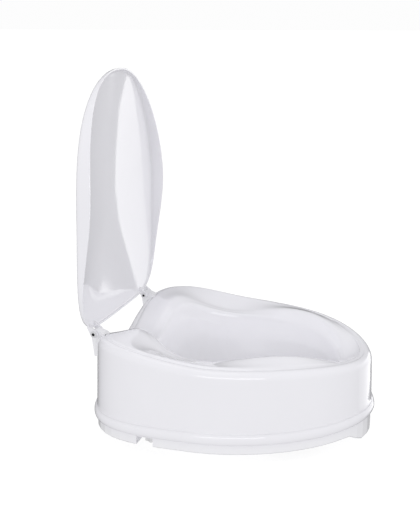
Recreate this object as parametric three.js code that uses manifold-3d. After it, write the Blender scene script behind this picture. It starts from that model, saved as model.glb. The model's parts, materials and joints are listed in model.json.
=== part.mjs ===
// Raised toilet seat with a hinged lid: a contoured hollow ring screwed to a base ring, which is held
// on the toilet bowl by a front hook and two sliding side clamps. The lid is shown open.
// Millimetres, +Z up. The front of the seat points to -Y, the hinges are at +Y, "left" is -X.
// Heights are measured from the foot of the bead (the lower edge of the seat shell); the finished
// assembly is moved at the end so that it stands on the floor at z = 0, centred on the origin.
import * as THREE from 'three';
import { ParametricGeometry } from 'three/addons/geometries/ParametricGeometry.js';
import { mergeVertices } from 'three/addons/utils/BufferGeometryUtils.js';
import Module from 'manifold-3d';

const wasm = await Module();
wasm.setup();

const GAP = 0.3;                  // clearance between pieces that touch
const OVERRUN = 1;                // how far a cutter runs past the face it cuts
const BEYOND = 300;               // further from the middle than any piece reaches

// ---- driving dimensions -------------------------------------------------------------------------

const SEAT = { halfWidth: 181, front: 225, rear: 172, frontPower: 1.85, rearPower: 3.7 };
const OPENING = { halfWidth: 107, front: 172, rear: 104, frontPower: 2, rearPower: 2.4 };
const LID = { halfWidth: 150, front: 208, rear: 163, frontPower: 2.25, rearPower: 5.5 };

// Heights every 20 degrees from the front centre (0) round to the rear centre (180), used as the
// control values of a smooth curve. The ring dips at the front and the rear and swells beside the
// hinges.
const RIM_HEIGHTS = [82, 91, 100, 103, 103.5, 108, 119.5, 125.5, 97, 72];
const CROWN_HEIGHTS = [68, 91, 114, 116, 102.5, 100, 116, 132, 102, 71];
const LIP_HEIGHTS = [60, 80, 93, 89, 91, 97, 109, 121, 95, 65];
const LID_EDGE_HEIGHTS = [120, 124, 126, 124.5, 123.5, 125, 127, 128.5, 128.5, 128.5];
const LID_SKIRT_DEPTHS = [5, 8, 16.5, 20.5, 22, 18, 9, 4, 4.5, 4.5];

const SHELL_THICKNESS = 3;
const SHELL_STATIONS = 72;        // sections round the ring
const BEAD_HEIGHT = 23;
const BEAD_BULGE = 4.5;
const WALL_DRAFT = 0.03;          // inward lean of the outer wall, mm per mm of height
const ROLL_INSET = 13;            // where the rounded outer edge meets the seating surface
const ROLL_DROP = 12;
const GUARD_FOOT = -3;            // lower edge of the inner wall

const BASE_STATIONS = 80;
const BASE_INSET = 0.5;           // the base ring stands this far inside the foot of the bead
const SKIRT_FOOT = -14.5;         // lower edge of the base ring
const SKIRT_THICKNESS = 3;
const PLATE_TOP = -GAP;
const PLATE_UNDERSIDE = -3.5;
const CHEEK_THICKNESS = 2.5;      // walls either side of each clamp channel
const HOOK_FOOT = -30;            // lowest point of the front hook
const HOOK_FULL_ANGLE = 9;        // the hook has its full depth this many degrees each side of the front
const HOOK_END_ANGLE = 19;

const PIN = { x: 103.3, y: 165.3, z: 118.8, radius: 3 };
const KNUCKLE_RADIUS = 5.5;
const KNUCKLE_WIDTH = 15.2;
const EAR_THICKNESS = 4;
const EAR_GAP = 0.4;
const LID_APEX_HEIGHT = 141;
const LID_THICKNESS = 2.6;
const LID_CORNER = 13;            // width of the rounded edge between the lid's plate and its skirt
const LID_FLARE = 0.3;            // the free edge of the lid's skirt stands out this much
const LID_PLATE_STEPS = 6;
const LID_STATIONS = 72;

const CLAMP_Y = 65.5;             // middle of the side notches
const NOTCH_WIDTH = 25;
const CLAMP_BOLT_X = 144;
const CLAMP_BOLT_RADIUS = 3;
const CLAMP_TRAVEL = 18;
const JAW_INNER_X = 103;
const NOTCH_INNER_X = 172;        // the notch opens the skirt but not the plate inside this line
const CHEEK_INNER_X = 138;
const CHEEK_OUTER_X = 177;

// ---- general helpers ----------------------------------------------------------------------------

const radians = THREE.MathUtils.degToRad;

function meshData(geometry) {
  const bare = geometry.clone();
  bare.deleteAttribute('normal');
  bare.deleteAttribute('uv');
  const merged = mergeVertices(bare, 1e-4);
  const triangles = [];
  for (let i = 0; i < merged.index.count; i += 3) {
    const corners = [merged.index.getX(i), merged.index.getX(i + 1), merged.index.getX(i + 2)];
    if (new Set(corners).size === 3) triangles.push(...corners);
  }
  return { positions: merged.attributes.position.array, triangles };
}

function solid(geometry) {
  const { positions, triangles } = meshData(geometry);
  return new wasm.Manifold(new wasm.Mesh({
    numProp: 3,
    vertProperties: new Float32Array(positions),
    triVerts: new Uint32Array(triangles),
  }));
}

function piece(name, body, material) {
  const { vertProperties, triVerts } = body.getMesh();
  const geometry = new THREE.BufferGeometry();
  geometry.setAttribute('position', new THREE.BufferAttribute(new Float32Array(vertProperties), 3));
  geometry.setIndex(new THREE.BufferAttribute(new Uint32Array(triVerts), 1));
  const mesh = new THREE.Mesh(geometry, material);
  mesh.name = name;
  return mesh;
}

function box(min, max) {
  const size = max.map((value, axis) => value - min[axis]);
  const geometry = new THREE.BoxGeometry(...size);
  geometry.translate(...min.map((value, axis) => value + size[axis] / 2));
  return solid(geometry);
}

// A turned body: the profile lists [radius, height] and the axis is x, y or z through the point `at`.
function turned(profile, axis, at, segments = 20) {
  const geometry = new THREE.LatheGeometry(profile.map(([r, h]) => new THREE.Vector2(r, h)), segments);
  if (axis === 'z') geometry.rotateX(Math.PI / 2);
  if (axis === 'x') geometry.rotateZ(-Math.PI / 2);
  geometry.translate(...at);
  return solid(geometry);
}

function rod(radius, from, to, axis, at, segments = 20) {
  return turned([[0, from], [radius, from], [radius, to], [0, to]], axis, at, segments);
}

// A flat outline drawn in Y (across) and Z (up), given its thickness along X from x0 to x1.
function slabAlongX(shape, x0, x1, curveSegments = 8) {
  const geometry = new THREE.ExtrudeGeometry(shape, {
    depth: x1 - x0, bevelEnabled: false, steps: 1, curveSegments,
  });
  geometry.applyMatrix4(new THREE.Matrix4().makeBasis(
    new THREE.Vector3(0, 1, 0), new THREE.Vector3(0, 0, 1), new THREE.Vector3(1, 0, 0),
  ));
  geometry.translate(x0, 0, 0);
  return solid(geometry);
}

// A flat outline drawn in X and Y, given its thickness along Z from z0 to z1.
function slabAlongZ(shape, z0, z1, curveSegments = 6) {
  const geometry = new THREE.ExtrudeGeometry(shape, {
    depth: z1 - z0, bevelEnabled: false, steps: 1, curveSegments,
  });
  geometry.translate(0, 0, z0);
  return solid(geometry);
}

function roundedRectangle(x0, y0, x1, y1, radius) {
  const shape = new THREE.Shape();
  shape.moveTo(x0 + radius, y0);
  shape.lineTo(x1 - radius, y0);
  shape.absarc(x1 - radius, y0 + radius, radius, -Math.PI / 2, 0);
  shape.lineTo(x1, y1 - radius);
  shape.absarc(x1 - radius, y1 - radius, radius, 0, Math.PI / 2);
  shape.lineTo(x0 + radius, y1);
  shape.absarc(x0 + radius, y1 - radius, radius, Math.PI / 2, Math.PI);
  shape.lineTo(x0, y0 + radius);
  shape.absarc(x0 + radius, y0 + radius, radius, Math.PI, 1.5 * Math.PI);
  return shape;
}

// ---- the plan of the ring -----------------------------------------------------------------------

// Angles run round the ring in radians: 0 is the front centre, a quarter turn is the right side.
const heading = (angle) => new THREE.Vector2(Math.sin(angle), -Math.cos(angle));

function outlinePoint(outline, angle) {
  const direction = heading(angle);
  const forward = direction.y < 0;
  const length = forward ? outline.front : outline.rear;
  const power = forward ? outline.frontPower : outline.rearPower;
  const sum = Math.abs(direction.x / outline.halfWidth) ** power + Math.abs(direction.y / length) ** power;
  return direction.multiplyScalar(sum ** (-1 / power));
}

// The straight line across the ring at one angle, from the outer wall to the opening.
function spoke(angle) {
  const outer = outlinePoint(SEAT, angle);
  const inner = outlinePoint(OPENING, angle);
  const inward = inner.clone().sub(outer).normalize();
  return { outer, inward, width: inner.distanceTo(outer) };
}

// Smooth uniform B-spline through the half-ring control values, mirrored about the centre plane.
function aroundRing(values, angle) {
  const last = values.length - 1;
  const turn = Math.acos(Math.cos(angle)) / Math.PI * last;
  const index = Math.min(Math.floor(turn), last - 1);
  const t = turn - index;
  const value = (i) => values[i < 0 ? -i : i > last ? 2 * last - i : i];
  const weights = [(1 - t) ** 3, 3 * t ** 3 - 6 * t ** 2 + 4, 1 + 3 * t + 3 * t ** 2 - 3 * t ** 3, t ** 3];
  return weights.reduce((sum, weight, i) => sum + weight / 6 * value(index - 1 + i), 0);
}

function spokePoint(angle, inset, height) {
  const { outer, inward } = spoke(angle);
  const at = outer.addScaledVector(inward, inset);
  return new THREE.Vector3(at.x, at.y, height);
}

// A closed ring-shaped body from a function that gives its closed (inset, height) section at an angle,
// listed clockwise: up the outer side, across the top and down towards the opening.
function ringBody(sectionAt, stations) {
  const rings = Array.from({ length: stations }, (_, i) => {
    const angle = i / stations * 2 * Math.PI;
    return sectionAt(angle).map((point) => spokePoint(angle, point.x, point.y)).reverse();
  });
  const count = rings[0].length;
  const place = (u, v, target) => {
    const ring = rings[Math.round(v * stations) % stations];
    target.copy(ring[Math.round(u * count) % count]);
  };
  return solid(new ParametricGeometry(place, count, stations));
}

// The other face of a wall: each point of the line moved to the right of its direction of travel.
function offsetLine(points, distance) {
  return points.map((point, i) => {
    const before = points[Math.max(i - 1, 0)];
    const after = points[Math.min(i + 1, points.length - 1)];
    const along = after.clone().sub(before).normalize();
    return new THREE.Vector2(point.x + along.y * distance, point.y - along.x * distance);
  });
}

// ---- seat shell ---------------------------------------------------------------------------------

const BEAD_STEPS = 5;
const wallInset = (height) => WALL_DRAFT * height;

// Visible skin of the seat at one angle, from the foot of the bead up the outer wall, over the
// rounded edge and the seating surface, and down the inner wall.
function seatSkin(angle) {
  const { width } = spoke(angle);
  const rim = aroundRing(RIM_HEIGHTS, angle);
  const crown = aroundRing(CROWN_HEIGHTS, angle);
  const lip = aroundRing(LIP_HEIGHTS, angle);
  const bead = new THREE.SplineCurve([
    new THREE.Vector2(-1, 0),
    new THREE.Vector2(-BEAD_BULGE, 0.34 * BEAD_HEIGHT),
    new THREE.Vector2(-0.5 * BEAD_BULGE, 0.66 * BEAD_HEIGHT),
    new THREE.Vector2(wallInset(BEAD_HEIGHT), BEAD_HEIGHT),
  ]);
  const wallTop = rim - ROLL_DROP;
  const roll = new THREE.EllipseCurve(
    ROLL_INSET, wallTop, ROLL_INSET - wallInset(wallTop), ROLL_DROP, Math.PI, Math.PI / 2, true,
  );
  const step = 2 * THREE.MathUtils.smoothstep(Math.acos(Math.cos(angle)), radians(10), radians(70));
  const seating = new THREE.SplineCurve([
    new THREE.Vector2(ROLL_INSET, rim),
    new THREE.Vector2(ROLL_INSET + 6, rim + step),
    new THREE.Vector2(0.42 * width, 0.3 * (rim + step) + 0.7 * crown),
    new THREE.Vector2(0.62 * width, crown),
    new THREE.Vector2(0.84 * width, 0.6 * lip + 0.4 * crown),
    new THREE.Vector2(0.96 * width, lip - 10),
    new THREE.Vector2(width, lip - 30),
  ]);
  const foot = new THREE.Vector2(width + 3, GUARD_FOOT);
  return [...bead.getPoints(BEAD_STEPS), ...roll.getPoints(3), ...seating.getPoints(10).slice(1), foot];
}

function shellSection(angle) {
  const skin = seatSkin(angle);
  const lining = offsetLine(skin, SHELL_THICKNESS);
  const last = lining.length - 1;
  lining[0] = new THREE.Vector2(SHELL_THICKNESS, 0);
  lining[last].y = GUARD_FOOT;
  // The hidden face runs straight up behind the bead, then keeps every other point.
  const keep = (i) => i === 0 || i === last || (i >= BEAD_STEPS && i % 2 === 0);
  return [...skin, ...lining.filter((_, i) => keep(i)).reverse()];
}

// The space inside the visible skin, used to trim pieces that meet it.
const seatEnvelope = ringBody((angle) => (
  [...seatSkin(angle), new THREE.Vector2(SHELL_THICKNESS, GUARD_FOOT)]
), SHELL_STATIONS);

// Screw positions on the ring: angle in degrees from the front and fraction of the way to the opening.
const BASE_SCREWS = [15, 62, 128].flatMap((degrees) => [-degrees, degrees]);
const SCREW_FRACTION = 0.45;
const POST_RADIUS = 6;
const SCREW_HOLE_RADIUS = 2.3;
const SCREW_DEPTH = 14;

function screwPlace(degrees) {
  const angle = radians(degrees);
  return spokePoint(angle, SCREW_FRACTION * spoke(angle).width, 0);
}

function screwPost(degrees) {
  const { x, y } = screwPlace(degrees);
  const post = rod(POST_RADIUS, 0, BEYOND, 'z', [x, y, 0], 14);
  return post.intersect(seatEnvelope.translate([0, 0, -OVERRUN]));
}

const HINGE_SCREW_HEIGHTS = [92, 103];
const HINGE_SCREW_SEAT_Y = 166.8;
const HINGE_SCREW_LENGTH = 14;
const HINGE_SCREW_RADIUS = 1.8;

// Solid block behind the rear wall that the screws of one hinge bite into.
function hingeBoss(side) {
  const halfWidth = 7;
  const depth = HINGE_SCREW_LENGTH + 1;
  const [lower, upper] = HINGE_SCREW_HEIGHTS;
  const min = [side * PIN.x - halfWidth, HINGE_SCREW_SEAT_Y - depth, lower - halfWidth];
  const max = [side * PIN.x + halfWidth, SEAT.rear, upper + 5];
  return box(min, max).intersect(seatEnvelope.translate([0, -OVERRUN, 0]));
}

function hingeScrewHole(side, height) {
  const foot = HINGE_SCREW_SEAT_Y - HINGE_SCREW_LENGTH - 1;
  return rod(HINGE_SCREW_RADIUS + GAP, foot, BEYOND, 'y', [side * PIN.x, 0, height], 12);
}

function seatShell() {
  let shell = ringBody(shellSection, SHELL_STATIONS);
  for (const degrees of BASE_SCREWS) {
    const { x, y } = screwPlace(degrees);
    shell = shell.add(screwPost(degrees));
    shell = shell.subtract(rod(SCREW_HOLE_RADIUS, -OVERRUN, SCREW_DEPTH + 2, 'z', [x, y, 0], 12));
  }
  for (const side of [-1, 1]) {
    shell = shell.add(hingeBoss(side));
    for (const height of HINGE_SCREW_HEIGHTS) {
      shell = shell.subtract(hingeScrewHole(side, height));
    }
  }
  return shell;
}

// ---- base ring ----------------------------------------------------------------------------------

function skirtFoot(angle) {
  const fromFront = Math.acos(Math.cos(angle));
  const hook = 1 - THREE.MathUtils.smoothstep(fromFront, radians(HOOK_FULL_ANGLE), radians(HOOK_END_ANGLE));
  return SKIRT_FOOT + hook * (HOOK_FOOT - SKIRT_FOOT);
}

// The base ring is a flat plate with a skirt hanging from its outer edge and a low rib that locates
// it inside the shell.
function baseSection(angle) {
  const plateEnd = spoke(angle).width - 6;
  const foot = skirtFoot(angle);
  const ribInset = 6;
  const ribThickness = 2;
  const ribTop = 8;
  const skirtInner = BASE_INSET + SKIRT_THICKNESS;
  const round = 1.5;
  return [
    [BASE_INSET, PLATE_TOP], [ribInset, PLATE_TOP], [ribInset, ribTop],
    [ribInset + ribThickness, ribTop], [ribInset + ribThickness, PLATE_TOP], [plateEnd, PLATE_TOP],
    [plateEnd, PLATE_UNDERSIDE], [skirtInner, PLATE_UNDERSIDE],
    [skirtInner, foot + round], [skirtInner - round, foot],
    [BASE_INSET + round, foot], [BASE_INSET, foot + round],
  ].map(([inset, height]) => new THREE.Vector2(inset, height));
}

// A box between two distances from the centre plane on one side.
function sideBox(side, [innerX, outerX], [y0, y1], [z0, z1]) {
  const [x0, x1] = side > 0 ? [innerX, outerX] : [-outerX, -innerX];
  return box([x0, y0, z0], [x1, y1, z1]);
}

// The channel that one clamp slides in: two cheeks under the plate, and a notch through the skirt.
function cutChannel(ring, side) {
  const front = CLAMP_Y - NOTCH_WIDTH / 2;
  const rear = CLAMP_Y + NOTCH_WIDTH / 2;
  const cheekX = [CHEEK_INNER_X, CHEEK_OUTER_X];
  const cheekZ = [SKIRT_FOOT + 0.5, PLATE_UNDERSIDE + 0.5];
  const frontCheek = sideBox(side, cheekX, [front - CHEEK_THICKNESS, front], cheekZ);
  const rearCheek = sideBox(side, cheekX, [rear, rear + CHEEK_THICKNESS], cheekZ);
  const notch = sideBox(side, [NOTCH_INNER_X, BEYOND], [front, rear], [-BEYOND, PLATE_TOP - 1.2]);
  const boltHole = rod(CLAMP_BOLT_RADIUS + 0.4, -BEYOND, BEYOND, 'z', [side * CLAMP_BOLT_X, CLAMP_Y, 0], 16);
  return ring.add(frontCheek).add(rearCheek).subtract(notch).subtract(boltHole);
}

function baseRing() {
  let ring = ringBody(baseSection, BASE_STATIONS);
  for (const side of [-1, 1]) ring = cutChannel(ring, side);
  for (const degrees of BASE_SCREWS) {
    const { x, y } = screwPlace(degrees);
    ring = ring.subtract(rod(SCREW_HOLE_RADIUS, -BEYOND, BEYOND, 'z', [x, y, 0], 12));
  }
  return ring;
}

// ---- screws -------------------------------------------------------------------------------------

function baseScrew(degrees) {
  const { x, y } = screwPlace(degrees);
  const seat = PLATE_UNDERSIDE - GAP;
  const profile = [
    [0, seat - 2.6], [2.6, seat - 2.3], [4, seat - 1], [4, seat],
    [2, seat], [2, SCREW_DEPTH - 2], [0, SCREW_DEPTH],
  ];
  return turned(profile, 'z', [x, y, 0], 12);
}

function hingeScrew(side, height) {
  const seat = HINGE_SCREW_SEAT_Y + GAP;
  const tip = seat - HINGE_SCREW_LENGTH;
  const profile = [
    [0, tip], [HINGE_SCREW_RADIUS, tip + 2], [HINGE_SCREW_RADIUS, seat],
    [3.4, seat], [3.4, seat + 1], [2.2, seat + 2], [0, seat + 2.3],
  ];
  return turned(profile, 'y', [side * PIN.x, 0, height], 12);
}

// ---- hinges -------------------------------------------------------------------------------------

// Bracket seen from the side: a knuckle round the pin, a saddle that runs forward on to the seat and a
// wedge that tapers down the rear wall. The seat's own skin trims the side that bears on it.
function bracketShape() {
  const shape = new THREE.Shape();
  shape.moveTo(167, 84);
  shape.lineTo(PIN.y + KNUCKLE_RADIUS, PIN.z - 4);
  shape.absarc(PIN.y, PIN.z, KNUCKLE_RADIUS, 0, 0.6 * Math.PI);
  shape.lineTo(152, 120);
  shape.lineTo(145, 115);
  shape.lineTo(145, 100);
  shape.lineTo(155, 84);
  return shape;
}

function pinHole(side) {
  return rod(PIN.radius + GAP, -KNUCKLE_WIDTH, KNUCKLE_WIDTH, 'x', [side * PIN.x, PIN.y, PIN.z], 16);
}

function hingeBracket(side) {
  const centre = side * PIN.x;
  let bracket = slabAlongX(bracketShape(), centre - KNUCKLE_WIDTH / 2, centre + KNUCKLE_WIDTH / 2, 12);
  bracket = bracket.subtract(seatEnvelope.translate([0, GAP, GAP]));
  bracket = bracket.subtract(pinHole(side));
  for (const height of HINGE_SCREW_HEIGHTS) {
    const counterbore = rod(3.8, HINGE_SCREW_SEAT_Y, BEYOND, 'y', [centre, 0, height], 16);
    bracket = bracket.subtract(hingeScrewHole(side, height)).subtract(counterbore);
  }
  return bracket;
}

function hingePin(side) {
  const reach = KNUCKLE_WIDTH / 2 + EAR_GAP + EAR_THICKNESS + GAP;
  const profile = [
    [0, -reach - 2], [2.4, -reach - 2], [3.6, -reach], [PIN.radius, -reach],
    [PIN.radius, reach], [4.6, reach], [4.6, reach + 1], [3.4, reach + 2], [0, reach + 2.3],
  ];
  const facing = profile.map(([radius, along]) => [radius, side * along]);
  return turned(side > 0 ? facing : facing.reverse(), 'x', [side * PIN.x, PIN.y, PIN.z], 16);
}

// ---- lid ----------------------------------------------------------------------------------------

// Top face of the closed lid at one angle, from the centre to the free edge of its skirt, as
// [distance from the centre, height].
function lidSkin(angle) {
  const reach = outlinePoint(LID, angle).length();
  const edge = aroundRing(LID_EDGE_HEIGHTS, angle);
  const depth = aroundRing(LID_SKIRT_DEPTHS, angle);
  const cornerDrop = 0.8 * depth;
  const dome = (fraction) => LID_APEX_HEIGHT - (LID_APEX_HEIGHT - edge) * fraction ** 2.2;
  const plateFraction = (reach - LID_CORNER) / reach;
  const plate = Array.from({ length: LID_PLATE_STEPS + 1 }, (_, i) => {
    const part = Math.sin(i / LID_PLATE_STEPS * Math.PI / 2) * plateFraction;
    return new THREE.Vector2(part * reach, dome(part));
  });
  const cornerTop = dome(plateFraction);
  const corner = new THREE.EllipseCurve(
    reach - LID_CORNER, cornerTop - cornerDrop, LID_CORNER, cornerDrop, Math.PI / 2, 0, true,
  ).getPoints(4).slice(1);
  return [...plate, ...corner, new THREE.Vector2(reach + LID_FLARE, edge - depth)];
}

function lidSection(angle) {
  const skin = lidSkin(angle);
  const lining = offsetLine(skin, LID_THICKNESS);
  const last = lining.length - 1;
  lining[0] = new THREE.Vector2(0, LID_APEX_HEIGHT - LID_THICKNESS);
  lining[last].y = skin[last].y;
  return [...skin, ...lining.reverse()];
}

function lidPlate() {
  const fans = Array.from({ length: LID_STATIONS }, (_, i) => {
    const angle = i / LID_STATIONS * 2 * Math.PI;
    const direction = heading(angle);
    return lidSection(angle).map(({ x, y }) => new THREE.Vector3(direction.x * x, direction.y * x, y));
  });
  const last = fans[0].length - 1;
  const place = (u, v, target) => {
    target.copy(fans[Math.round(v * LID_STATIONS) % LID_STATIONS][Math.round(u * last)]);
  };
  return solid(new ParametricGeometry(place, last, LID_STATIONS));
}

function earShape() {
  const shape = new THREE.Shape();
  shape.moveTo(147, 132.3);
  shape.absarc(PIN.y, PIN.z, KNUCKLE_RADIUS, radians(-125), radians(55));
  shape.lineTo(153, 131.4);
  return shape;
}

function lidEar(side, place) {
  const near = KNUCKLE_WIDTH / 2 + EAR_GAP;
  const centre = side * PIN.x + place * (near + EAR_THICKNESS / 2);
  return slabAlongX(earShape(), centre - EAR_THICKNESS / 2, centre + EAR_THICKNESS / 2, 12);
}

function openLid() {
  let lid = lidPlate();
  for (const side of [-1, 1]) {
    for (const place of [-1, 1]) lid = lid.add(lidEar(side, place));
    lid = lid.subtract(pinHole(side));
  }
  return lid.translate([0, -PIN.y, -PIN.z]).rotate([-90, 0, 0]).translate([0, PIN.y, PIN.z]);
}

// ---- side clamps --------------------------------------------------------------------------------

const ARM_TOP = PLATE_UNDERSIDE - 0.5;
const ARM_UNDERSIDE = ARM_TOP - 4.5;
const JAW_OUTER_X = JAW_INNER_X + 6;
const PAD_OUTER_X = JAW_OUTER_X + GAP + 4;
const ARM_HALF_WIDTH = NOTCH_WIDTH / 2 - 0.5;
const WASHER_TOP = ARM_UNDERSIDE - GAP;
const WASHER_THICKNESS = 1.2;
const KNOB_TOP = WASHER_TOP - WASHER_THICKNESS - GAP;
const KNOB_HEIGHT = 10;
const KNOB_FOOT = KNOB_TOP - KNOB_HEIGHT;

// Pieces of the right-hand clamp; the left-hand ones are their mirror images.
const clampPieces = {
  clamp_arm() {
    const bar = box(
      [JAW_INNER_X, CLAMP_Y - ARM_HALF_WIDTH, ARM_UNDERSIDE],
      [CLAMP_BOLT_X + 8, CLAMP_Y + ARM_HALF_WIDTH, ARM_TOP],
    );
    const jaw = box(
      [JAW_INNER_X, CLAMP_Y - ARM_HALF_WIDTH, HOOK_FOOT],
      [JAW_OUTER_X, CLAMP_Y + ARM_HALF_WIDTH, ARM_TOP],
    );
    const slotRadius = CLAMP_BOLT_RADIUS + 0.4;
    const slot = slabAlongZ(roundedRectangle(
      CLAMP_BOLT_X - CLAMP_TRAVEL - slotRadius, CLAMP_Y - slotRadius,
      CLAMP_BOLT_X + slotRadius, CLAMP_Y + slotRadius, slotRadius - 0.01,
    ), ARM_UNDERSIDE - OVERRUN, ARM_TOP + OVERRUN);
    return bar.add(jaw).subtract(slot);
  },
  clamp_pad() {
    const outline = roundedRectangle(
      CLAMP_Y - ARM_HALF_WIDTH + 1, HOOK_FOOT + 1.5, CLAMP_Y + ARM_HALF_WIDTH - 1, ARM_UNDERSIDE - 2, 3,
    );
    return slabAlongX(outline, JAW_OUTER_X + GAP, PAD_OUTER_X, 4);
  },
  clamp_bolt() {
    const headFoot = PLATE_TOP + GAP;
    const profile = [
      [0, KNOB_FOOT + 3], [CLAMP_BOLT_RADIUS - 1, KNOB_FOOT + 3], [CLAMP_BOLT_RADIUS, KNOB_FOOT + 4],
      [CLAMP_BOLT_RADIUS, headFoot], [7, headFoot], [7, headFoot + 1.5], [4, headFoot + 3.5], [0, headFoot + 4],
    ];
    return turned(profile, 'z', [CLAMP_BOLT_X, CLAMP_Y, 0], 16);
  },
  clamp_washer() {
    const disc = rod(8, WASHER_TOP - WASHER_THICKNESS, WASHER_TOP, 'z', [CLAMP_BOLT_X, CLAMP_Y, 0], 20);
    const bore = rod(CLAMP_BOLT_RADIUS + GAP, -BEYOND, BEYOND, 'z', [CLAMP_BOLT_X, CLAMP_Y, 0], 16);
    return disc.subtract(bore);
  },
  clamp_knob() {
    const lobes = 6;
    const points = 48;
    const shape = new THREE.Shape(Array.from({ length: points }, (_, i) => {
      const angle = i / points * 2 * Math.PI;
      const radius = 10 + Math.cos(lobes * angle);
      return new THREE.Vector2(CLAMP_BOLT_X + radius * Math.cos(angle), CLAMP_Y + radius * Math.sin(angle));
    }));
    const bore = rod(CLAMP_BOLT_RADIUS + GAP, KNOB_FOOT + 2, BEYOND, 'z', [CLAMP_BOLT_X, CLAMP_Y, 0], 16);
    return slabAlongZ(shape, KNOB_FOOT, KNOB_TOP).subtract(bore);
  },
};

// ---- rest pads ----------------------------------------------------------------------------------

const PAD_FOOT = PLATE_UNDERSIDE - GAP - 3;

// A rubber pad that follows the ring under the base plate, centred on the given angle.
function restPad(degrees) {
  const halfLength = 14;
  const steps = 6;
  const edge = (fraction) => Array.from({ length: steps + 1 }, (_, i) => {
    const angle = radians(degrees + halfLength * (2 * i / steps - 1));
    const { x, y } = spokePoint(angle, fraction * spoke(angle).width, 0);
    return new THREE.Vector2(x, y);
  });
  const outline = new THREE.Shape([...edge(0.3), ...edge(0.6).reverse()]);
  return slabAlongZ(outline, PAD_FOOT, PLATE_UNDERSIDE - GAP);
}

// ---- assembly -----------------------------------------------------------------------------------

const whitePlastic = new THREE.MeshStandardMaterial({ color: 0xeef0f4, roughness: 0.22, metalness: 0 });
const greyPlastic = new THREE.MeshStandardMaterial({ color: 0xd5d8dc, roughness: 0.45, metalness: 0 });
const rubber = new THREE.MeshStandardMaterial({ color: 0x6d7074, roughness: 0.85, metalness: 0 });
const steel = new THREE.MeshStandardMaterial({ color: 0xb9bcc0, roughness: 0.35, metalness: 1 });

const sides = [['left', -1], ['right', 1]];
const assembly = new THREE.Group();
assembly.name = 'raised_toilet_seat';
assembly.add(piece('seat_shell', seatShell(), whitePlastic));
assembly.add(piece('base_ring', baseRing(), whitePlastic));
assembly.add(piece('lid', openLid(), whitePlastic));

BASE_SCREWS.forEach((degrees) => {
  const zone = { 15: 'front', 62: 'middle', 128: 'rear' }[Math.abs(degrees)];
  const hand = degrees < 0 ? 'left' : 'right';
  assembly.add(piece(`base_screw_${zone}_${hand}`, baseScrew(degrees), steel));
});

for (const [hand, side] of sides) {
  assembly.add(piece(`hinge_bracket_${hand}`, hingeBracket(side), whitePlastic));
  assembly.add(piece(`hinge_pin_${hand}`, hingePin(side), greyPlastic));
  HINGE_SCREW_HEIGHTS.forEach((height, i) => {
    assembly.add(piece(`hinge_screw_${['lower', 'upper'][i]}_${hand}`, hingeScrew(side, height), steel));
  });
}

const clampMaterials = {
  clamp_arm: whitePlastic, clamp_pad: rubber, clamp_bolt: steel, clamp_washer: steel, clamp_knob: greyPlastic,
};
for (const [name, build] of Object.entries(clampPieces)) {
  assembly.add(piece(`${name}_right`, build(), clampMaterials[name]));
  assembly.add(piece(`${name}_left`, build().mirror([1, 0, 0]), clampMaterials[name]));
}

for (const [zone, degrees] of [['front', 38], ['rear', 152]]) {
  for (const [hand, side] of sides) {
    assembly.add(piece(`rest_pad_${zone}_${hand}`, restPad(side * degrees), rubber));
  }
}

// Stand the assembly on z = 0 with its length centred on the origin.
const bounds = new THREE.Box3().setFromObject(assembly);
const middle = (bounds.min.y + bounds.max.y) / 2;
for (const mesh of assembly.children) mesh.geometry.translate(0, -middle, -bounds.min.z);

export default assembly;
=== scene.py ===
"""Looks of a raised toilet seat with its lid open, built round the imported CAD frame.

+Z is up and the front is at -Y. The shapes are worked out in millimetres, in seat coordinates whose
origin is the centre of the seat at the foot of its bead; the studio is in metres, in the row frame.
"""
import json
import math
from collections import namedtuple

import bpy
import numpy as np
from mathutils import Matrix, Vector


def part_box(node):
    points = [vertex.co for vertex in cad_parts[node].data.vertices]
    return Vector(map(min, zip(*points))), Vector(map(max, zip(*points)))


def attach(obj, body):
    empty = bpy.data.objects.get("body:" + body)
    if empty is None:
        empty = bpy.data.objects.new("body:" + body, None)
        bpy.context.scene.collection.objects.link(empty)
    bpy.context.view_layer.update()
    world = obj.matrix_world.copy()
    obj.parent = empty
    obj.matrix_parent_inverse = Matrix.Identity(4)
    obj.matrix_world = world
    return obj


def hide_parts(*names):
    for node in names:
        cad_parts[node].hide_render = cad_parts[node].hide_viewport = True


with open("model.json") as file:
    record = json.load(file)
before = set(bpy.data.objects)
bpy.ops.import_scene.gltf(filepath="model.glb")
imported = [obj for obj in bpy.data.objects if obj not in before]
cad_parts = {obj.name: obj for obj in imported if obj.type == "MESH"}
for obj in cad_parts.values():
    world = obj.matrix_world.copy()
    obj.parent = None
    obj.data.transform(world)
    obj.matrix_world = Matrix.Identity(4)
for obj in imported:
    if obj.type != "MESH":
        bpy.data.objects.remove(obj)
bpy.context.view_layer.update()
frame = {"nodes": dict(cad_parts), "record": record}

MM = 0.001

# ---- driving dimensions ------------------------------------------------------------------------

Outline = namedtuple("Outline", "half_width front rear front_power rear_power")
SEAT = Outline(181, 225, 172, 1.85, 3.7)
OPENING = Outline(107, 172, 104, 2, 2.4)
LID = Outline(150, 208, 163, 2.25, 5.5)

# Control heights every 20 degrees from the front centre round to the rear centre. The smooth curve
# through a list passes near its values, not exactly through them.
RIM_HEIGHTS = [85, 94.5, 101, 103, 103.5, 108, 119.5, 125.5, 98, 72]
CROWN_HEIGHTS = [64, 98, 112.5, 109.5, 100.5, 95, 106, 132, 104, 72]
LIP_HEIGHTS = [61, 81, 91.5, 91, 92, 92, 100, 118, 94, 67]
LID_EDGE_HEIGHTS = [120, 124, 126, 124.5, 123.5, 125, 127, 128.5, 128.5, 128.5]
LID_SKIRT_DEPTHS = [5, 8, 16.5, 20.5, 22, 18, 9, 4, 4.5, 4.5]

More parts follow.
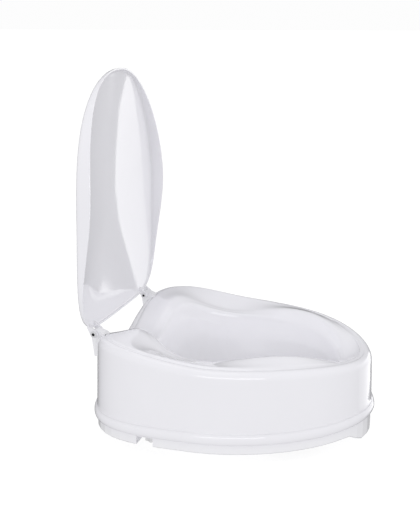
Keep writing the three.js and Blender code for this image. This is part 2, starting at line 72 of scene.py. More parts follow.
SHELL_THICKNESS = 3
BEAD_HEIGHT = 16                  # swollen lower edge of the seat
BEAD_BULGE = 4.4
WALL_DRAFT = 0.03                 # how far the side wall leans in for each millimetre of height
ROLL_INSET = 13                   # rounded edge between the side wall and the seating surface
ROLL_DROP = 12
RIM_GROOVE = 0.5                  # fine groove between the rounded edge and the seating surface
RIM_STEP = 2                      # rise of the seating surface just inside the groove
GROOVE_INSET = 2.2                # both measured inwards from the rounded edge
STEP_INSET = 7
SHOULDER_PLACE = 0.42             # places across the ring, as parts of its width from the outer wall
CROWN_PLACE = 0.69
SLOPE_PLACE = 0.84
LIP_PLACE = 0.95
LIP_DROP = 20                     # how far the seating surface turns down past its lip
GUARD_FOOT = -3                   # height of the lower edge of the wall round the opening
GUARD_SPLAY = 3
POST_RADIUS = 6                   # posts inside the shell for the base ring's screws
SCREW_HOLE_RADIUS = 2.3
SCREW_DEPTH = 16
POST_TOP_DEPTH = 1                # how far a post ends below the seating surface
BLOCK_HALF_WIDTH = 7              # blocks inside the rear wall for the hinge screws
BLOCK_REAR = 160.5
BLOCK_TOP_MARGIN = 5
BLOCK_TIP_COVER = 1               # material in front of the screws' tips

PIN_X = 103.3                     # centre of the right hinge pin
PIN_Y = 165.3
PIN_Z = 118.8
PIN_RADIUS = 3
PIN_HEAD_RADIUS = 4.6
PIN_HEAD_RIM = 1.3                # width of the head's straight rim, before it slopes to its face
PIN_HEAD_FACE_RADIUS = 3.8
PIN_BARB_RADIUS = 3.6             # widest place of the tapered tip
PIN_TIP_RADIUS = 2.6
PIN_END_LENGTH = 2                # length of the head, and of the tapered tip
PIN_RECESS_RADIUS = 2.2
PIN_RECESS_DEPTH = 2
PIN_MOUTH_DEPTH = 0.4             # slope round the mouth of a recess
PIN_MOUTH_WIDTH = 0.3
PIN_PLAY = 0.3                    # gap between an ear and the pin's head or tip
KNUCKLE_WIDTH = 15.2
EAR_RADIUS = 5.5
EAR_THICKNESS = 4
EAR_GAP = 0.4
PIN_SHANK_END = KNUCKLE_WIDTH / 2 + EAR_GAP + EAR_THICKNESS + PIN_PLAY
EAR_ROOT_FRONT = 151              # where an ear runs into the shut lid
EAR_ROOT_REAR = 157
EAR_ROOT_HEIGHT = 129
EAR_ARC = (-144, 55)              # degrees round the pin, from the front of an ear to its rear

LID_APEX_HEIGHT = 141
LID_THICKNESS = 2.6
LID_CORNER = 6                    # rounding between the lid's face and its skirt
LID_FLARE = 0.3
LID_DOME_POWER = 2.2

STATIONS = 288                    # sections round each fine ring
SPAN_STEPS = 12                   # points in each span of a section's smooth curve
LID_POINTS = 120                  # points across each side of a lid section
LINING_POINTS = 40                # points across the hidden side of a seat section
EDGE_ROUND = 0.5                  # width of the rounding of sharp edges
PIN_EDGE_ROUND = 0.15
SHARP_ANGLE = 35                  # degrees; edges that turn more than this are rounded
FLAT_ANGLE = 1                    # degrees; faces that turn less than this are joined


def frame_origin():
    """Where the seat's own centre, at the foot of its bead, stands in the row frame, in metres."""
    lid_back = PIN_Y + LID_APEX_HEIGHT - PIN_Z
    return Vector((0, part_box("lid")[1].y - lid_back * MM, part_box("seat_shell")[0].z - GUARD_FOOT * MM))


ORIGIN = frame_origin()

# ---- curves ------------------------------------------------------------------------------------


def smoothstep(value, low, high):
    """0 below the low value, 1 above the high one, and a smooth rise between them."""
    t = np.clip((value - low) / (high - low), 0, 1)
    return t * t * (3 - 2 * t)


def from_front(angle):
    """Unsigned angle from the front centre, 0 to pi."""
    return math.acos(math.cos(angle))


def reach(outline, angle):
    """Distance from the centre to an outline; angle 0 is the front, a quarter turn the right."""
    forward = math.cos(angle) > 0
    length, power = (outline.front, outline.front_power) if forward else (outline.rear, outline.rear_power)
    total = abs(math.sin(angle) / outline.half_width) ** power + abs(math.cos(angle) / length) ** power
    return total ** (-1 / power)


def around_ring(values, angle):
    """Smooth uniform B-spline through half-ring control values, mirrored about the centre plane."""
    last = len(values) - 1
    turn = from_front(angle) / math.pi * last
    index = min(int(turn), last - 1)
    t = turn - index
    weights = ((1 - t) ** 3, 3 * t ** 3 - 6 * t ** 2 + 4, 1 + 3 * t + 3 * t ** 2 - 3 * t ** 3, t ** 3)
    total = 0
    for step, weight in enumerate(weights):
        place = abs(index - 1 + step)
        total += weight / 6 * values[min(place, 2 * last - place)]
    return total


def spline(points, steps):
    """Catmull-Rom curve through the points."""
    points = np.array(points, float)
    padded = np.vstack([points[:1], points, points[-1:]])
    t = np.linspace(0, 1, steps, endpoint=False)[:, None]
    spans = []
    for a, b, c, d in zip(padded, padded[1:], padded[2:], padded[3:]):
        tangent_b = (c - a) / 2
        tangent_c = (d - b) / 2
        spans.append((2 * t ** 3 - 3 * t ** 2 + 1) * b + (t ** 3 - 2 * t ** 2 + t) * tangent_b
                     + (3 * t ** 2 - 2 * t ** 3) * c + (t ** 3 - t ** 2) * tangent_c)
    return np.vstack(spans + [points[-1:]])


def straight(start, end, steps):
    """Evenly spaced points on a straight line, both ends included."""
    return np.linspace(start, end, steps + 1)


def ellipse_arc(centre, radii, start, end, steps):
    """Points on an arc of an upright ellipse between two angles in degrees, both ends included."""
    turn = np.radians(np.linspace(start, end, steps + 1))
    return np.column_stack([centre[0] + radii[0] * np.cos(turn), centre[1] + radii[1] * np.sin(turn)])


def resample(line, count):
    """The same line with evenly spaced points."""
    line = np.asarray(line, float)
    along = np.r_[0, np.cumsum(np.linalg.norm(np.diff(line, axis=0), axis=1))]
    even = np.linspace(0, along[-1], count)
    return np.column_stack([np.interp(even, along, line[:, axis]) for axis in range(line.shape[1])])


def relax(line):
    """Rounds off small kinks and leaves the two ends in place."""
    line = line.copy()
    line[1:-1] = 0.5 * line[1:-1] + 0.25 * (line[:-2] + line[2:])
    return line


def offset(line, distance):
    """The line moved to the right of its direction of travel."""
    along = np.gradient(line, axis=0)
    along /= np.linalg.norm(along, axis=1)[:, None]
    return line + distance * np.column_stack([along[:, 1], -along[:, 0]])


# ---- meshes ------------------------------------------------------------------------------------


def soften(piece, width):
    """Rounds the sharp edges of a piece; the width is in millimetres."""
    piece.data.shade_smooth()
    edge = piece.modifiers.new("soft edges", "BEVEL")
    edge.width = width * MM
    edge.segments = 3
    edge.limit_method = "ANGLE"
    edge.angle_limit = math.radians(SHARP_ANGLE)
    level = piece.modifiers.new("level shading", "WEIGHTED_NORMAL")
    level.keep_sharp = True


def merge_flats(piece):
    """Joins the triangles that share a flat face, so that its edges can be rounded evenly."""
    flats = piece.modifiers.new("flat faces", "DECIMATE")
    flats.decimate_type = "DISSOLVE"
    flats.angle_limit = math.radians(FLAT_ANGLE)


def new_object(name, vertices, faces):
    """A smooth-shaded mesh object, linked to the scene."""
    mesh = bpy.data.meshes.new(name)
    mesh.from_pydata([tuple(v) for v in vertices], [], [tuple(f) for f in faces])
    mesh.validate()
    mesh.shade_smooth()
    piece = bpy.data.objects.new(name, mesh)
    bpy.context.scene.collection.objects.link(piece)
    return piece


def to_frame(points):
    """Seat coordinates in millimetres to the row frame in metres."""
    return np.asarray(points, float) * MM + np.array(ORIGIN)


def spoke_points(angle, section):
    """Section points (inset from the outer wall, height) set out along the spoke at one angle."""
    section = np.asarray(section, float)
    radius = reach(SEAT, angle) - section[:, 0]
    return np.column_stack([radius * math.sin(angle), -radius * math.cos(angle), section[:, 1]])


def grid_faces(stations, count):
    """Quads of a closed ring of closed sections."""
    faces = []
    for i in range(stations):
        j = (i + 1) % stations
        for k in range(count):
            m = (k + 1) % count
            faces.append((i * count + k, j * count + k, j * count + m, i * count + m))
    return faces


def ring_mesh(section_at):
    """A ring-shaped body from a function that gives its closed section at an angle."""
    angles = np.linspace(0, 2 * math.pi, STATIONS, endpoint=False)
    sections = [spoke_points(angle, section_at(angle)) for angle in angles]
    return np.vstack(sections), grid_faces(STATIONS, len(sections[0]))


def slab(outline, x0, x1):
    """A flat outline in (y, z) given its thickness along X."""
    count = len(outline)
    vertices = [(x, y, z) for x in (x0, x1) for y, z in outline]
    faces = [tuple(range(count))[::-1], tuple(range(count, 2 * count))]
    faces += [(k, (k + 1) % count, count + (k + 1) % count, count + k) for k in range(count)]
    return np.array(vertices, float), faces


def joined(parts):
    """One list of vertices and one of faces from several."""
    vertices, faces = [], []
    for part_vertices, part_faces in parts:
        start = sum(len(v) for v in vertices)
        vertices.append(part_vertices)
        faces += [tuple(start + k for k in face) for face in part_faces]
    return np.vstack(vertices), faces


def revolve(profile, segments=48):
    """A turned shape from (distance along X, radius) points that start and end on its axis."""
    rings = profile[1:-1]
    turns = np.linspace(0, 2 * math.pi, segments, endpoint=False)
    vertices = [(x, r * math.cos(t), r * math.sin(t)) for x, r in rings for t in turns]
    vertices += [(profile[0][0], 0, 0), (profile[-1][0], 0, 0)]
    first = len(vertices) - 2
    last = len(vertices) - 1
    end = (len(rings) - 1) * segments
    faces = []
    for k in range(segments):
        m = (k + 1) % segments
        faces.append((first, m, k))
        faces.append((last, end + k, end + m))
        faces += [(i + k, i + m, i + segments + m, i + segments + k) for i in range(0, end, segments)]
    return np.array(vertices, float), faces


# ---- seat shell --------------------------------------------------------------------------------


def seat_skin(angle):
    """Visible side of the shell: bead, wall, rounded edge, seating surface and guard wall."""
    width = reach(SEAT, angle) - reach(OPENING, angle)
    turn = math.degrees(from_front(angle))
    rim = around_ring(RIM_HEIGHTS, angle)
    crown = around_ring(CROWN_HEIGHTS, angle)
    lip = around_ring(LIP_HEIGHTS, angle)
    middle = BEAD_HEIGHT / 2
    foot_of_wall = WALL_DRAFT * middle
    bead = ellipse_arc((foot_of_wall, middle), (BEAD_BULGE + foot_of_wall, middle), 270, 90, steps=24)
    wall_top = rim - ROLL_DROP
    wall = straight(bead[-1], (WALL_DRAFT * wall_top, wall_top), SPAN_STEPS)
    roll_radii = (ROLL_INSET - WALL_DRAFT * wall_top, ROLL_DROP)
    roll = ellipse_arc((ROLL_INSET, wall_top), roll_radii, 180, 90, steps=16)
    # The step fades out towards the front centre, and the groove towards the humps at the rear.
    step = RIM_STEP * smoothstep(turn, 10, 70)
    groove = RIM_GROOVE * (1 - smoothstep(turn, 100, 135))
    shoulder = 0.65 * (rim + step) + 0.35 * crown
    slope = 0.4 * lip + 0.6 * crown
    seating = spline([
        (ROLL_INSET, rim),
        (ROLL_INSET + GROOVE_INSET, rim - groove),
        (ROLL_INSET + STEP_INSET, rim + step),
        (SHOULDER_PLACE * width, shoulder),
        (CROWN_PLACE * width, crown),
        (SLOPE_PLACE * width, slope),
        (LIP_PLACE * width, lip),
        (width, lip - LIP_DROP),
    ], SPAN_STEPS)
    guard = straight(seating[-1], (width + GUARD_SPLAY, GUARD_FOOT), SPAN_STEPS)
    return np.vstack([bead, wall[1:-1], roll, seating[1:], guard[1:]])


def shell_section(angle):
    """Closed section: the skin, and a coarser hidden face behind it."""
    skin = relax(seat_skin(angle))
    lining = offset(skin, SHELL_THICKNESS)
    above_bead = lining[lining[:, 1] > BEAD_HEIGHT + SHELL_THICKNESS]
    outer_foot = [SHELL_THICKNESS, 0]
    inner_foot = [skin[-1, 0] - SHELL_THICKNESS, GUARD_FOOT]
    hidden = resample(np.vstack([[outer_foot], above_bead, [inner_foot]]), LINING_POINTS)
    return np.vstack([skin, hidden[::-1]])


def in_seat(point):
    """A point of the row frame, in metres, in seat coordinates."""
    return (Vector(point) - ORIGIN) / MM


def middle_of(node):
    """Centre of a CAD piece's box, in seat coordinates."""
    low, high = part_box(node)
    return in_seat((low + high) / 2)


def skin_height(x, y):
    """Height of the visible seating surface above a point in the plan."""
    angle = math.atan2(x, -y)
    skin = seat_skin(angle)
    surface = skin[skin[:, 0] > ROLL_INSET]
    return np.interp(reach(SEAT, angle) - math.hypot(x, y), surface[:, 0], surface[:, 1])


def screw_post(node):
    """Hollow post inside the shell that takes one screw of the base ring; its top stays in the wall."""
    x, y, _ = middle_of(node)
    turns = np.linspace(0, 2 * math.pi, 12, endpoint=False)
    around = [(x + POST_RADIUS * math.cos(t), y + POST_RADIUS * math.sin(t)) for t in turns]
    top = min(skin_height(*place) for place in around) - POST_TOP_DEPTH
    profile = [
        (SCREW_DEPTH, 0),
        (SCREW_DEPTH, SCREW_HOLE_RADIUS),
        (0, SCREW_HOLE_RADIUS),
        (0, POST_RADIUS),
        (top, POST_RADIUS),
        (top, 0),
    ]
    vertices, faces = revolve(profile, segments=24)
    return vertices[:, [1, 2, 0]] + (x, y, 0), faces


def hinge_block(hand):
    """Solid block inside the rear wall that the two screws of one bracket bite into."""
    lower = middle_of(f"hinge_screw_lower_{hand}")
    upper = middle_of(f"hinge_screw_upper_{hand}")
    front = in_seat(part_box(f"hinge_screw_lower_{hand}")[0]).y - BLOCK_TIP_COVER
    foot = lower.z - BLOCK_HALF_WIDTH
    head = upper.z + BLOCK_TOP_MARGIN
    outline = [(front, foot), (BLOCK_REAR, foot), (BLOCK_REAR, head), (front, head)]
    return slab(outline, lower.x - BLOCK_HALF_WIDTH, lower.x + BLOCK_HALF_WIDTH)


def seat_shell():
    """The ring, its screw posts and its hinge blocks in one mesh, in place of the CAD shell."""
    hands = ("left", "right")
    zones = ("front", "middle", "rear")
    posts = [screw_post(f"base_screw_{zone}_{hand}") for zone in zones for hand in hands]
    blocks = [hinge_block(hand) for hand in hands]
    vertices, faces = joined([ring_mesh(shell_section), *posts, *blocks])
    shell = new_object("seat_shell_skin", to_frame(vertices), faces)
    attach(shell, "seat")
    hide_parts("seat_shell")
    return shell


# ---- lid ---------------------------------------------------------------------------------------


def lid_skin(angle):
    """Outer face of the shut lid at one angle: (distance from the centre, height)."""
    length = reach(LID, angle)
    edge = around_ring(LID_EDGE_HEIGHTS, angle)
    depth = around_ring(LID_SKIRT_DEPTHS, angle)
    # Where the skirt is shallow, the rounding takes up most of it but never all.
    drop = min(LID_CORNER, 0.8 * depth)
    plate_fraction = (length - LID_CORNER) / length
    part = np.linspace(0, plate_fraction, 60)
    dome = LID_APEX_HEIGHT - (LID_APEX_HEIGHT - edge) * part ** LID_DOME_POWER
    plate = np.column_stack([part * length, dome])
    corner = ellipse_arc((length - LID_CORNER, dome[-1] - drop), (LID_CORNER, drop), 90, 0, steps=16)
    return np.vstack([plate, corner[1:], [[length + LID_FLARE, edge - depth]]])


def lid_section(angle):
    """Both sides of the shut lid at one angle, each from the middle out to the edge of the skirt."""
    skin = relax(resample(lid_skin(angle), LID_POINTS))
    lining = offset(skin, LID_THICKNESS)
    lining[0] = [0, LID_APEX_HEIGHT - LID_THICKNESS]
    lining[-1, 1] = skin[-1, 1]
    return skin, lining


def lid_plate():
    """The shut lid as two fans that meet at the free edge of the skirt."""
    angles = np.linspace(0, 2 * math.pi, STATIONS, endpoint=False)
    vertices = [(0, 0, LID_APEX_HEIGHT), (0, 0, LID_APEX_HEIGHT - LID_THICKNESS)]
    faces = []
    for angle in angles:
        skin, lining = lid_section(angle)
        line = np.vstack([skin[1:], lining[:0:-1]])
        vertices += [(math.sin(angle) * r, -math.cos(angle) * r, z) for r, z in line]
    count = len(line)
    for i in range(STATIONS):
        here = 2 + i * count
        there = 2 + (i + 1) % STATIONS * count
        faces.append((0, here, there))
        faces.append((1, there + count - 1, here + count - 1))
        faces += [(here + k, here + k + 1, there + k + 1, there + k) for k in range(count - 1)]
    return np.array(vertices, float), faces


def opened(vertices):
    """The lid's points turned a quarter turn back about the hinge pins."""
    y = vertices[:, 1] - PIN_Y
    z = vertices[:, 2] - PIN_Z
    return np.column_stack([vertices[:, 0], PIN_Y + z, PIN_Z - y])


def lid_ears():
    """Two ears beside each hinge knuckle, from the lid's underside down round the pin."""
    round_pin = ellipse_arc((PIN_Y, PIN_Z), (EAR_RADIUS, EAR_RADIUS), *EAR_ARC, steps=26)
    root_front = (EAR_ROOT_FRONT, EAR_ROOT_HEIGHT)
    root_rear = (EAR_ROOT_REAR, EAR_ROOT_HEIGHT)
    outline = np.vstack([root_front, round_pin, root_rear])
    beside = KNUCKLE_WIDTH / 2 + EAR_GAP
    ears = []
    for centre in (-PIN_X, PIN_X):
        ears.append(slab(outline, centre - beside - EAR_THICKNESS, centre - beside))
        ears.append(slab(outline, centre + beside, centre + beside + EAR_THICKNESS))
    return ears


def lid():
    """The domed plate and its hinge ears in one mesh, opened, in place of the CAD lid."""
    vertices, faces = joined([lid_plate(), *lid_ears()])
    cover = new_object("lid_cover", to_frame(opened(vertices)), faces)
    soften(cover, EDGE_ROUND)
    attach(cover, "lid")
    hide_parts("lid")
    return cover


# ---- hinge pins --------------------------------------------------------------------------------


def hinge_pin(hand, side):
    """A pin with a tapered tip on its inner end, a head on its outer end and a recess in both."""
    end = PIN_SHANK_END + PIN_END_LENGTH
    bottom = end - PIN_RECESS_DEPTH
    mouth = end - PIN_MOUTH_DEPTH
    tip_recess = PIN_RECESS_RADIUS - PIN_MOUTH_WIDTH
    # From the bottom of the tip's recess, along the pin's outside, to the bottom of the head's recess.
    profile = [
        (-bottom, 0),
        (-bottom, tip_recess),
        (-mouth, tip_recess),
        (-end, PIN_RECESS_RADIUS),
        (-end, PIN_TIP_RADIUS),
        (-PIN_SHANK_END, PIN_BARB_RADIUS),
        (-PIN_SHANK_END, PIN_RADIUS),
        (PIN_SHANK_END, PIN_RADIUS),
        (PIN_SHANK_END, PIN_HEAD_RADIUS),
        (PIN_SHANK_END + PIN_HEAD_RIM, PIN_HEAD_RADIUS),
        (end, PIN_HEAD_FACE_RADIUS),
        (end, PIN_RECESS_RADIUS + PIN_MOUTH_WIDTH),
        (mouth, PIN_RECESS_RADIUS),
        (bottom, PIN_RECESS_RADIUS),
        (bottom, 0),
    ]
    if side < 0:
        profile = [(-x, r) for x, r in reversed(profile)]
    node = f"hinge_pin_{hand}"
    vertices, faces = revolve(profile)
    pin = new_object(node + "_recessed", to_frame(vertices + (side * PIN_X, PIN_Y, PIN_Z)), faces)
    soften(pin, PIN_EDGE_ROUND)
    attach(pin, "seat")
    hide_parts(node)
    return pin


def paint_shade_in_recesses(pin, side):
    """Gives the walls and the bottoms of a pin's two blind holes its second material, the near-black
    painted shade.
    """
    centre = Vector(to_frame([(side * PIN_X, PIN_Y, PIN_Z)])[0])
    for face in pin.data.polygons:
        from_axis = math.hypot(face.center.y - centre.y, face.center.z - centre.z)
        from_middle = abs(face.center.x - centre.x)
        is_wall = abs(face.normal.x) < 0.5
        is_bottom = from_middle < (PIN_SHANK_END + PIN_END_LENGTH / 2) * MM
        if from_axis < PIN_TIP_RADIUS * MM and (is_wall or is_bottom):
            # These faces get painted shade, not a real dark colour of the pin.
            face.material_index = 1


# ---- materials ---------------------------------------------------------------------------------


def new_material(name):
    """A node material, with its tree and its shader."""
    material = bpy.data.materials.new(name)
    material.use_nodes = True
    tree = material.node_tree
    shader = tree.nodes["Principled BSDF"]
    return material, tree, shader


def noise(tree, scale, detail=2.0, roughness=0.5):
    """Noise in the piece's own coordinates, in metres."""
    place = tree.nodes.new("ShaderNodeTexCoord")
    texture = tree.nodes.new("ShaderNodeTexNoise")
    texture.inputs["Scale"].default_value = scale
    texture.inputs["Detail"].default_value = detail
    texture.inputs["Roughness"].default_value = roughness
    tree.links.new(place.outputs["Object"], texture.inputs["Vector"])
    return texture.outputs["Fac"]


def between(tree, factor, low, high):
    """A value that runs from low to high with the factor."""
    node = tree.nodes.new("ShaderNodeMapRange")
    node.inputs["To Min"].default_value = low
    node.inputs["To Max"].default_value = high
    tree.links.new(factor, node.inputs["Value"])
    return node.outputs["Result"]


def mix_colour(tree, factor, first, second):
    """A colour that runs with the factor from the first, a tone or a socket, to the second, a tone."""
    node = tree.nodes.new("ShaderNodeMix")
    node.data_type = "RGBA"
    if isinstance(first, tuple):
        node.inputs["A"].default_value = (*first, 1)
    else:
        tree.links.new(first, node.inputs["A"])
    node.inputs["B"].default_value = (*second, 1)
    tree.links.new(factor, node.inputs["Factor"])
    return node.outputs["Result"]


def bump(tree, height, strength, distance):
    """Surface normals that follow a height; the distance is in metres."""
    node = tree.nodes.new("ShaderNodeBump")
    node.inputs["Strength"].default_value = strength
    node.inputs["Distance"].default_value = distance
    tree.links.new(height, node.inputs["Height"])
    return node.outputs["Normal"]


def worn_edges(tree, start, end):
    """0 on flat and hollow places, rising to 1 on the sharpest outward edges."""
    geometry = tree.nodes.new("ShaderNodeNewGeometry")
    edges = tree.nodes.new("ShaderNodeMapRange")
    edges.inputs["From Min"].default_value = start
    edges.inputs["From Max"].default_value = end
    tree.links.new(geometry.outputs["Pointiness"], edges.inputs["Value"])
    return edges.outputs["Result"]


def scuffs(tree, scale, stretch, rarity):
    """Thin, broken streaks: 1 in a streak and 0 elsewhere; a higher rarity leaves fewer of them."""
    place = tree.nodes.new("ShaderNodeTexCoord")
    pull = tree.nodes.new("ShaderNodeMapping")
    pull.inputs["Rotation"].default_value = (0.5, 0.3, 0.7)
    pull.inputs["Scale"].default_value = stretch
    streaks = tree.nodes.new("ShaderNodeTexNoise")
    streaks.inputs["Scale"].default_value = scale
    streaks.inputs["Detail"].default_value = 4
    cut = tree.nodes.new("ShaderNodeMapRange")
    cut.inputs["From Min"].default_value = rarity
    cut.inputs["From Max"].default_value = rarity + 0.06
    tree.links.new(place.outputs["Object"], pull.inputs["Vector"])
    tree.links.new(pull.outputs["Vector"], streaks.inputs["Vector"])
    tree.links.new(streaks.outputs["Fac"], cut.inputs["Value"])
    return cut.outputs["Result"]


def sum_of(tree, *values):
    """The sum of several nodes' outputs."""
    total = values[0]
    for value in values[1:]:
        node = tree.nodes.new("ShaderNodeMath")
        node.operation = "ADD"
        tree.links.new(total, node.inputs[0])
        tree.links.new(value, node.inputs[1])
        total = node.outputs[0]
    return total


def finish(tree, shader, colour, roughness, normal):
    """Links the three outputs that every plastic, rubber and metal here has to its shader."""
    tree.links.new(colour, shader.inputs["Base Color"])
    tree.links.new(roughness, shader.inputs["Roughness"])
    tree.links.new(normal, shader.inputs["Normal"])


def rubbed_colour(tree, clouds, dark, light, edges, rubbed):
    """Cloudy colour between two tones, and a third tone where edges are rubbed."""
    plain = mix_colour(tree, clouds, dark, light)
    return mix_colour(tree, edges, plain, rubbed)


def white_plastic():
    """Glossy moulded polypropylene: cool white, faintly cloudy, orange peel, fine scuffs."""
    material, tree, shader = new_material("white_plastic")
    edges = worn_edges(tree, start=0.53, end=0.62)
    scratches = scuffs(tree, scale=70, stretch=(1, 14, 14), rarity=0.66)
    colour = rubbed_colour(
        tree, noise(tree, 14, detail=3), dark=(0.845, 0.84, 0.88), light=(0.87, 0.865, 0.905),
        edges=edges, rubbed=(0.90, 0.90, 0.92))
    roughness = sum_of(
        tree, between(tree, noise(tree, 60), 0.03, 0.06), between(tree, edges, 0, 0.10),
        between(tree, scratches, 0, 0.12))
    peel = between(tree, noise(tree, 260, detail=1), 0, 1)
    grain = between(tree, noise(tree, 2200, detail=1), 0, 0.08)
    normal = bump(tree, sum_of(tree, peel, grain), strength=0.08, distance=0.0002)
    finish(tree, shader, colour, roughness, normal)
    return material


def grey_plastic():
    """Hard nylon with a spark-eroded grain, polished lighter where it is handled."""
    material, tree, shader = new_material("grey_plastic")
    edges = worn_edges(tree, start=0.51, end=0.6)
    colour = rubbed_colour(
        tree, noise(tree, 90, detail=4), dark=(0.60, 0.60, 0.62), light=(0.70, 0.70, 0.72),
        edges=edges, rubbed=(0.80, 0.80, 0.81))
    roughness = sum_of(tree, between(tree, noise(tree, 400), 0.42, 0.56), between(tree, edges, 0, -0.16))
    normal = bump(tree, noise(tree, 1500), strength=0.35, distance=0.0001)
    finish(tree, shader, colour, roughness, normal)
    return material


def rubber():
    """Matt rubber with a dusty bloom and a coarse, dull grain."""
    material, tree, shader = new_material("rubber")
    bloom = noise(tree, 45, detail=6, roughness=0.65)
    colour = rubbed_colour(
        tree, bloom, dark=(0.055, 0.055, 0.058), light=(0.15, 0.148, 0.145),
        edges=worn_edges(tree, start=0.52, end=0.6), rubbed=(0.20, 0.20, 0.20))
    roughness = between(tree, bloom, 0.68, 0.92)
    grain = sum_of(tree, noise(tree, 2500), noise(tree, 600))
    normal = bump(tree, grain, strength=0.5, distance=0.00012)
    finish(tree, shader, colour, roughness, normal)
    return material


def steel():
    """Zinc-plated steel: spangled tone, drawn-out scratches, bright worn edges."""
    material, tree, shader = new_material("steel")
    shader.inputs["Metallic"].default_value = 1
    scratches = scuffs(tree, scale=240, stretch=(1, 1, 12), rarity=0.58)
    colour = rubbed_colour(
        tree, noise(tree, 300, detail=5), dark=(0.50, 0.51, 0.54), light=(0.68, 0.69, 0.68),
        edges=worn_edges(tree, start=0.51, end=0.6), rubbed=(0.82, 0.82, 0.82))
    roughness = sum_of(tree, between(tree, noise(tree, 900), 0.20, 0.36), between(tree, scratches, 0, 0.15))
    normal = bump(tree, sum_of(tree, noise(tree, 3000), scratches), strength=0.2, distance=0.00005)
    finish(tree, shader, colour, roughness, normal)
    return material


def painted_recess_shade():
    """Near-black painted shade for the shallow recesses in the hinge pins, so that they look deep and
    unlit.
    """
    material, tree, shader = new_material("painted_recess_shade")
    # Painted shade: a near-black colour in place of the darkness deep inside a hole.
    colour = mix_colour(tree, noise(tree, 500), (0.012, 0.012, 0.014), (0.03, 0.03, 0.032))
    roughness = between(tree, noise(tree, 800), 0.6, 0.8)
    normal = bump(tree, noise(tree, 2000), strength=0.2, distance=0.0001)
    finish(tree, shader, colour, roughness, normal)
    return material


MATERIALS = {
    "white_plastic": white_plastic(),
    "grey_plastic": grey_plastic(),
    "rubber": rubber(),
    "steel": steel(),
}


def finish_nodes():
    """Each CAD piece gets its slot's material, and its sharp edges a small round."""
    slots = {row["node"]: row["material_slot"] for row in frame["record"]["subparts"]}
    for name, piece in frame["nodes"].items():
        piece.data.materials.clear()
        piece.data.materials.append(MATERIALS[slots[name]])
        merge_flats(piece)
        soften(piece, EDGE_ROUND)


# ---- studio ------------------------------------------------------------------------------------

CAMERA_AZIMUTH = -73.35           # degrees; 0 looks along +Y
CAMERA_ELEVATION = 14.71
CAMERA_DISTANCE = 1391.7          # millimetres, as is the aim
CAMERA_AIM = (3.3, 24.5, 205.2)   # in seat coordinates
CAMERA_LENS = 63.06
FLOOR_HALF_WIDTH = 60             # metres
CARD_DISTANCE = 3                 # metres from the lid to the reflection card
CARD_DIM_AZIMUTH = -60            # degrees; where the card has faded, while its other edge is bright
CARD_FULL_FROM = 0.6              # part of the way to the bright edge from which the glow is full


def camera():
    """The camera, to the left of the seat and a little in front of and above it."""
    data = bpy.data.cameras.new("camera")
    data.lens = CAMERA_LENS
    data.clip_end = 100
    rig = bpy.data.objects.new("camera", data)
    around = math.radians(CAMERA_AZIMUTH)
    up = math.radians(CAMERA_ELEVATION)
    back = Vector((math.sin(around) * math.cos(up), -math.cos(around) * math.cos(up), math.sin(up)))
    aim = Vector(to_frame([CAMERA_AIM])[0])
    facing = back.to_track_quat("Z", "Y").to_matrix().to_4x4()
    rig.matrix_world = Matrix.Translation(aim + back * CAMERA_DISTANCE * MM) @ facing
    bpy.context.scene.collection.objects.link(rig)
    bpy.context.scene.camera = rig


def softbox(name, place, aim, size, power):
    """A rectangular area light facing a point; lengths in metres, power in watts."""
    data = bpy.data.lights.new(name, "AREA")
    data.shape = "RECTANGLE"
    data.size, data.size_y = size
    data.energy = power
    light = bpy.data.objects.new(name, data)
    light.location = place
    light.rotation_euler = (Vector(place) - Vector(aim)).to_track_quat("Z", "Y").to_euler()
    bpy.context.scene.collection.objects.link(light)
    return light


def world_light(seen, lighting, reflected):
    """A plain surround: its brightness where it is seen, as light on surfaces, and in reflections."""
    world = bpy.data.worlds.new("studio")
    world.use_nodes = True
    tree = world.node_tree
    background = tree.nodes["Background"]
    path = tree.nodes.new("ShaderNodeLightPath")
    brightness = {"Is Camera Ray": seen, "Is Diffuse Ray": lighting, "Is Glossy Ray": reflected}
    strength = None
    for output, value in brightness.items():
        part = tree.nodes.new("ShaderNodeMath")
        part.operation = "MULTIPLY_ADD"
        part.inputs[1].default_value = value
        part.inputs[2].default_value = 0
        tree.links.new(path.outputs[output], part.inputs[0])
        if strength:
            tree.links.new(strength, part.inputs[2])
        strength = part.outputs[0]
    tree.links.new(strength, background.inputs["Strength"])
    background.inputs["Color"].default_value = (1, 1, 1, 1)
    bpy.context.scene.world = world


def floor():
    """Pale floor, bright enough by itself that only a faint contact shadow shows."""
    half = FLOOR_HALF_WIDTH
    corners = [(-half, -half, 0), (half, -half, 0), (half, half, 0), (-half, half, 0)]
    plane = new_object("floor", corners, [(0, 1, 2, 3)])
    material, tree, shader = new_material("floor")
    shader.inputs["Base Color"].default_value = (0.25, 0.25, 0.25, 1)
    shader.inputs["Roughness"].default_value = 0.9
    shader.inputs["Specular IOR Level"].default_value = 0
    shader.inputs["Emission Color"].default_value = (1, 1, 1, 1)
    shader.inputs["Emission Strength"].default_value = 0.83
    plane.data.materials.append(material)
    plane.visible_glossy = False
    plane.visible_diffuse = False


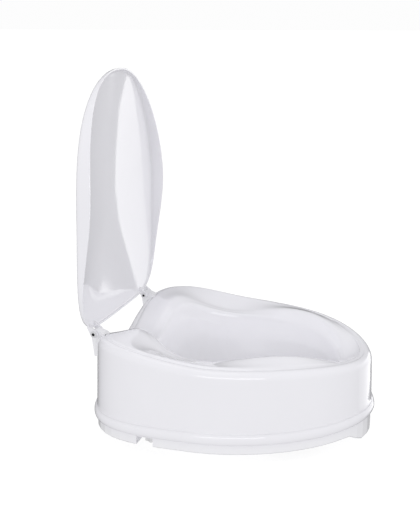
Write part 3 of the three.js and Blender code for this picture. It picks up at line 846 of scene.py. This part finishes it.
def reflector(name, bright_edge, bright, dim):
    """A card that glows only in glossy reflections, fading from its bright edge to the dim one.

    The bright edge is a line of (direction from the lid in degrees, height in metres) points from
    its foot up; bright and dim are the strengths of the glow.
    """
    corners, faces = [], []
    for azimuth, height in bright_edge:
        corners += [from_lid(azimuth, height), from_lid(CARD_DIM_AZIMUTH, height)]
    for k in range(0, len(corners) - 2, 2):
        faces.append((k, k + 1, k + 3, k + 2))
    card = new_object(name, corners, faces)
    material, tree, shader = new_material(name)
    place = tree.nodes.new("ShaderNodeTexCoord")
    along = tree.nodes.new("ShaderNodeSeparateXYZ")
    tree.links.new(place.outputs["Generated"], along.inputs["Vector"])
    glow = between(tree, along.outputs["X"], dim, bright)
    glow.node.inputs["From Max"].default_value = CARD_FULL_FROM
    tree.links.new(glow, shader.inputs["Emission Strength"])
    shader.inputs["Base Color"].default_value = (0, 0, 0, 1)
    shader.inputs["Emission Color"].default_value = (1, 1, 1, 1)
    card.data.materials.append(material)
    card.visible_camera = False
    card.visible_diffuse = False
    card.visible_shadow = False


def from_lid(azimuth, height):
    """A point at card distance from the open lid; azimuth 0 is +X and -90 the front."""
    low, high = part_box("lid")
    turn = math.radians(azimuth)
    across = CARD_DISTANCE * math.cos(turn)
    along = (low.y + high.y) / 2 + CARD_DISTANCE * math.sin(turn)
    return across, along, height


def studio():
    """Surround, floor, reflection card and lights."""
    world_light(seen=0.98, lighting=0.83, reflected=0.03)
    floor()
    # The card's bent bright edge draws the line between the dark and bright halves of the lid.
    edge = ((-24.5, -1.0), (-26.3, -0.24), (-20.8, -0.11), (-20.8, 0.9))
    reflector("front_card", edge, bright=1.7, dim=0.3)
    softbox("overhead", place=(-0.25, 0.15, 1.6), aim=(0, 0, 0.2), size=(0.9, 0.9), power=2)
    softbox("key", place=(-2.3, -0.5, 0.8), aim=(0, 0, 0.2), size=(2.0, 0.5), power=10)
    fill = softbox("fill", place=(0.7, -2.0, 0.9), aim=(0, 0.1, 0.2), size=(1.2, 1.2), power=4)
    fill.visible_glossy = False
    bpy.context.scene.view_settings.view_transform = "Standard"


# ---- everything --------------------------------------------------------------------------------

camera()
finish_nodes()
for piece in (seat_shell(), lid()):
    piece.data.materials.append(MATERIALS["white_plastic"])
# The pins' second material is near-black painted shade for the walls and bottoms of their recesses.
recess = painted_recess_shade()
for hand, side in (("left", -1), ("right", 1)):
    pin = hinge_pin(hand, side)
    pin.data.materials.append(MATERIALS["grey_plastic"])
    pin.data.materials.append(recess)
    paint_shade_in_recesses(pin, side)
studio()
